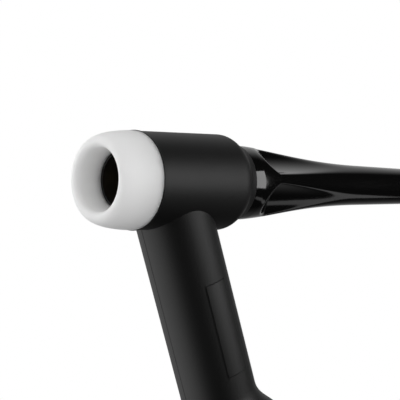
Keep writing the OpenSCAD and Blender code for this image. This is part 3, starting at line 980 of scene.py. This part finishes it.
class TORCH_OT_handle(bpy.types.Operator):
    """Moulds the tubular handle with its grooved grip"""

    bl_idname = "torch.handle"
    bl_label = "Handle"

    def execute(self, context):
        s, colours = settings()
        axis = neck_axis()
        start = plug_end(s) - s.plug_length + FIT
        end = start + s.handle_length
        edge = 1.2 * MM
        swell = 26 * MM
        plain_end = 16 * MM
        grooves = math.floor((s.handle_length - swell - plain_end) / s.groove_pitch)
        ribs_start, ribs_end = start + swell, start + swell + grooves * s.groove_pitch
        segments, rows_a_groove = 128, 25
        front = arc((s.band_radius - edge, start + edge), edge, -90, 0, 8)
        front += bezier(
            (s.band_radius, start + edge),
            (s.band_radius, start + 0.45 * swell),
            (s.grip_radius, start + 0.55 * swell),
            (s.grip_radius, ribs_start),
            24,
        )[1:]
        rear = [(s.grip_radius, ribs_end)] + arc((s.grip_radius - edge, end - edge), edge, 0, 90, 8)
        # From the rear: socket for the cable's cover, bore, wider bore, seat of the neck's plug
        socket, middle, seat = end - 10 * MM, start + 38.45 * MM, start + 14.5 * MM
        steps = (
            (12.2 * MM, end, socket),
            (11.0 * MM, socket, middle),
            (11.4 * MM, middle, seat),
            (12.6 * MM, seat, start),
        )
        bore = [(radius, along) for radius, *ends in steps for along in ends]
        nylon = glass_filled_nylon(colours.nylon)
        shell = make_object("grip_handle", turned(axis, rear + bore + front, segments), (nylon,))
        values = {"Length": ribs_end - ribs_start, "Radius": s.grip_radius, "Depth": s.groove_depth}
        values.update({"Pitch": s.groove_pitch, "Flank": 0.12, "Floor start": 0.56, "Floor end": 0.86})
        values.update({"Helix": 0.0, "Rows": grooves * rows_a_groove + 1, "Segments": segments + 1})
        sleeve = make_sleeve(values, nylon)
        origin, run, side, top = axis
        for vertex in sleeve.data.vertices:
            along, first, second = vertex.co
            vertex.co = origin + run * (ribs_start + along) + side * first + top * second
        edit = bmesh.new()
        edit.from_mesh(shell.data)
        edit.from_mesh(sleeve.data)
        bmesh.ops.remove_doubles(edit, verts=edit.verts, dist=1e-5)
        edit.to_mesh(shell.data)
        edit.free()
        bpy.data.objects.remove(sleeve)
        smooth(shell, 40.0)
        check_closed(shell)
        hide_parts("handle")
        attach(shell, "handle")
        return {"FINISHED"}


def brass_core(s, brass):
    """Core in the head: front thread, gas chamber, rear thread, seal seat, and boss for the tube."""
    axis, neck = head_axis(), neck_axis()
    front, rear = s.core_setback, rear_face(s) - 0.5 * MM
    chamfer, past = 0.3 * MM, 1.0 * MM
    body = [(0, front), (s.core_radius - chamfer, front), (s.core_radius, front + chamfer)]
    body += [(s.core_radius, rear - chamfer), (s.core_radius - chamfer, rear), (0, rear)]
    piece = make_object("brass_core", turned(axis, body, THREAD_SIDES), (brass,))
    boss_radius = s.tube_radius + s.boss_wall
    boss = [(0, 0), (boss_radius, 0), (boss_radius, s.boss_end), (0, s.boss_end)]
    combine(piece, make_object("boss", turned(neck, boss, THREAD_SIDES), (brass,)), "UNION")

    radius, lead = 5.3 * MM, 0.6 * MM
    thread_start, thread_end = front + lead, front + 5.0 * MM

    def front_mouth(found, along):
        return max(found, radius - max(0, along - thread_start))

    cone = [(radius + lead, front - past), (radius + lead, front), (radius, thread_start)]
    thread = {"radius": radius, "depth": 0.65 * MM, "pitch": 1.2 * MM, "flank": 0.36}
    bore = plain_rings(axis, cone)
    bore += thread_rings(axis, brass, front_mouth, thread_start, thread_end, **thread)

    seat = rear - 1.85 * MM  # of the sealing ring
    chamber, cap_thread, seal = 4.6 * MM, 6.05 * MM, 7.95 * MM
    cap_start, cap_end = seat - 7.9 * MM, seat - 0.4 * MM

    def rear_mouth(found, along):
        return max(found, cap_thread - max(0, cap_end - along))

    step = seat - 8.0 * MM
    bore += plain_rings(axis, [(chamber, thread_end), (chamber, step), (cap_thread, step)])
    thread = {"radius": cap_thread, "depth": 0.75 * MM, "pitch": 1.5 * MM, "flank": 0.36}
    bore += thread_rings(axis, brass, rear_mouth, cap_start, cap_end, **thread)
    bore += plain_rings(axis, [(cap_thread, seat), (seal, seat), (seal, rear - chamfer)])
    bore += plain_rings(axis, [(seal + chamfer, rear), (seal + chamfer, rear + past)])
    bore = [[place(axis, 0, 0, front - past)]] + bore + [[place(axis, 0, 0, rear + past)]]
    combine(piece, make_object("core_bore", skin(bore), (brass,)), "DIFFERENCE")

    gas_radius, tube_stop = 2.0 * MM, s.boss_end - s.boss_seat
    gas = [(0, 0), (gas_radius, 0), (gas_radius, tube_stop), (s.tube_radius, tube_stop)]
    gas += [(s.tube_radius, s.boss_end + past), (0, s.boss_end + past)]
    combine(piece, make_object("gas_way", turned(neck, gas, 64), (brass,)), "DIFFERENCE")
    return piece


def brass_tail(s, brass):
    """Tail fitting: collar in the plug, hexagon, thread for the power cable, coned mouth."""
    axis = neck_axis()
    collar, hexagon = plug_end(s) - s.collar_length, plug_end(s) + 0.5 * MM
    neck, end = hexagon + 7 * MM, hexagon + 20 * MM
    half_flat, corner, sixth = 7.0 * MM, 7.7 * MM, math.pi / 3
    chamfer = 0.2 * MM
    nose = [(s.collar_radius - chamfer, collar), (s.collar_radius, collar + chamfer)]
    rings = plain_rings(axis, nose + [(s.collar_radius, hexagon)])
    flats = [half_flat / math.cos((turn + 0.5 * sixth) % sixth - 0.5 * sixth) for turn in TURNS]
    # The hexagon's corners are chamfered at 30 degrees over the first and the last of its 7 mm
    fall = 0.58
    for along in (0, 0.25, 0.6, 1.0, 6.0, 6.4, 6.75, 7.0):
        reach = corner - fall * max(0, 1 - along, along - 6) * MM
        where = hexagon + along * MM
        rings.append([place(axis, min(flat, reach), turn, where) for flat, turn in zip(flats, TURNS)])
    radius, depth = 4.75 * MM, 0.75 * MM
    root = radius - depth
    thread_start = neck + 0.8 * MM

    def chamfers(found, along):
        return min(found, root + min(end - along + 0.1 * MM, along - thread_start + FIT))

    rings += plain_rings(axis, [(root, neck), (root, thread_start)])
    thread = {"radius": radius, "depth": depth, "pitch": 1.25 * MM, "flank": 0.40}
    rings += thread_rings(axis, brass, chamfers, thread_start, end, **thread)
    cone, tube_stop = 1.0 * MM, collar + 0.5 * s.collar_length
    bore = [(s.tube_bore + cone, end), (s.tube_bore, end - cone), (s.tube_bore, tube_stop)]
    rings += plain_rings(axis, bore + [(s.tube_radius, tube_stop), (s.tube_radius, collar)])
    return make_object("brass_tail", skin(rings, True), (brass,))


def brass_insert(s, brass):
    """Threaded insert of the back cap; its rear end has two grooves that hold it in the moulding."""
    axis = head_axis()
    face = rear_face(s) - s.nose_length
    front, rear = face - 8.3 * MM, face + s.insert_depth
    radius, depth = 6.0 * MM, 0.85 * MM
    relief_start = face - 2.3 * MM

    def chamfer(found, along):
        return min(found, radius - depth + along - front)

    thread = {"radius": radius, "depth": depth, "pitch": 1.5 * MM, "flank": 0.40}
    rings = thread_rings(axis, brass, chamfer, front, relief_start, **thread)
    rings += plain_rings(axis, [(radius, relief_start), (radius, face)])
    outer = s.insert_radius
    floor, half_width = outer - 0.4 * MM, 0.6 * MM
    outline = [(outer, face)]
    for third in (1, 2):
        middle = face + third * s.insert_depth / 3
        low, high = middle - half_width, middle + half_width
        outline += [(outer, low), (floor, low), (floor, high), (outer, high)]
    rings += plain_rings(axis, outline + [(outer, rear), (s.cap_bore, rear), (s.cap_bore, front)])
    return make_object("brass_insert", skin(rings, True), (brass,))


class TORCH_OT_metal_parts(bpy.types.Operator):
    """Turns the brass core, tail fitting and cap insert with their screw threads"""

    bl_idname = "torch.metal_parts"
    bl_label = "Brass pieces and seal"

    def execute(self, context):
        s, colours = settings()
        brass = worked_metal("machined_brass", colours.brass, feed=(3000.0, 120.0, 120.0), rough=0.24)
        nitrile = moulded_rubber("nitrile_rubber", colours.nitrile, True)
        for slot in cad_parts["cap_o_ring"].material_slots:
            slot.material = nitrile
        for piece, node, body in (
            (brass_core(s, brass), "head_core", "head"),
            (brass_tail(s, brass), "tail_fitting", "handle"),
            (brass_insert(s, brass), "cap_insert", "back_cap"),
        ):
            smooth(piece, 30.0)
            check_closed(piece)
            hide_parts(node)
            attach(piece, body)
        return {"FINISHED"}


class TORCH_PT_panel(bpy.types.Panel):
    """Lists the steps that build the torch, and its sizes and colours"""

    bl_idname = "TORCH_PT_panel"
    bl_label = "TIG torch"
    bl_space_type = "VIEW_3D"
    bl_region_type = "UI"
    bl_category = "TIG torch"

    def draw(self, context):
        for step in STEPS:
            self.layout.operator(step.bl_idname)
        for group in (context.scene.torch_sizes, context.scene.torch_colours):
            for name in group.__annotations__:
                self.layout.prop(group, name)


STEPS = (
    TORCH_OT_stage,
    TORCH_OT_neck_moulding,
    TORCH_OT_neck_tube,
    TORCH_OT_front_insulator,
    TORCH_OT_back_cap,
    TORCH_OT_handle,
    TORCH_OT_metal_parts,
)
CLASSES = (TorchSizes, TorchColours) + STEPS + (TORCH_PT_panel,)


def register():
    for entry in CLASSES:
        bpy.utils.register_class(entry)
    bpy.types.Scene.torch_sizes = PointerProperty(type=TorchSizes)
    bpy.types.Scene.torch_colours = PointerProperty(type=TorchColours)


def unregister():
    del bpy.types.Scene.torch_colours
    del bpy.types.Scene.torch_sizes
    for entry in reversed(CLASSES):
        bpy.utils.unregister_class(entry)


def main():
    register()
    for step in STEPS:
        group, name = step.bl_idname.split(".")
        getattr(getattr(bpy.ops, group), name)()


if __name__ == "__main__":
    main()
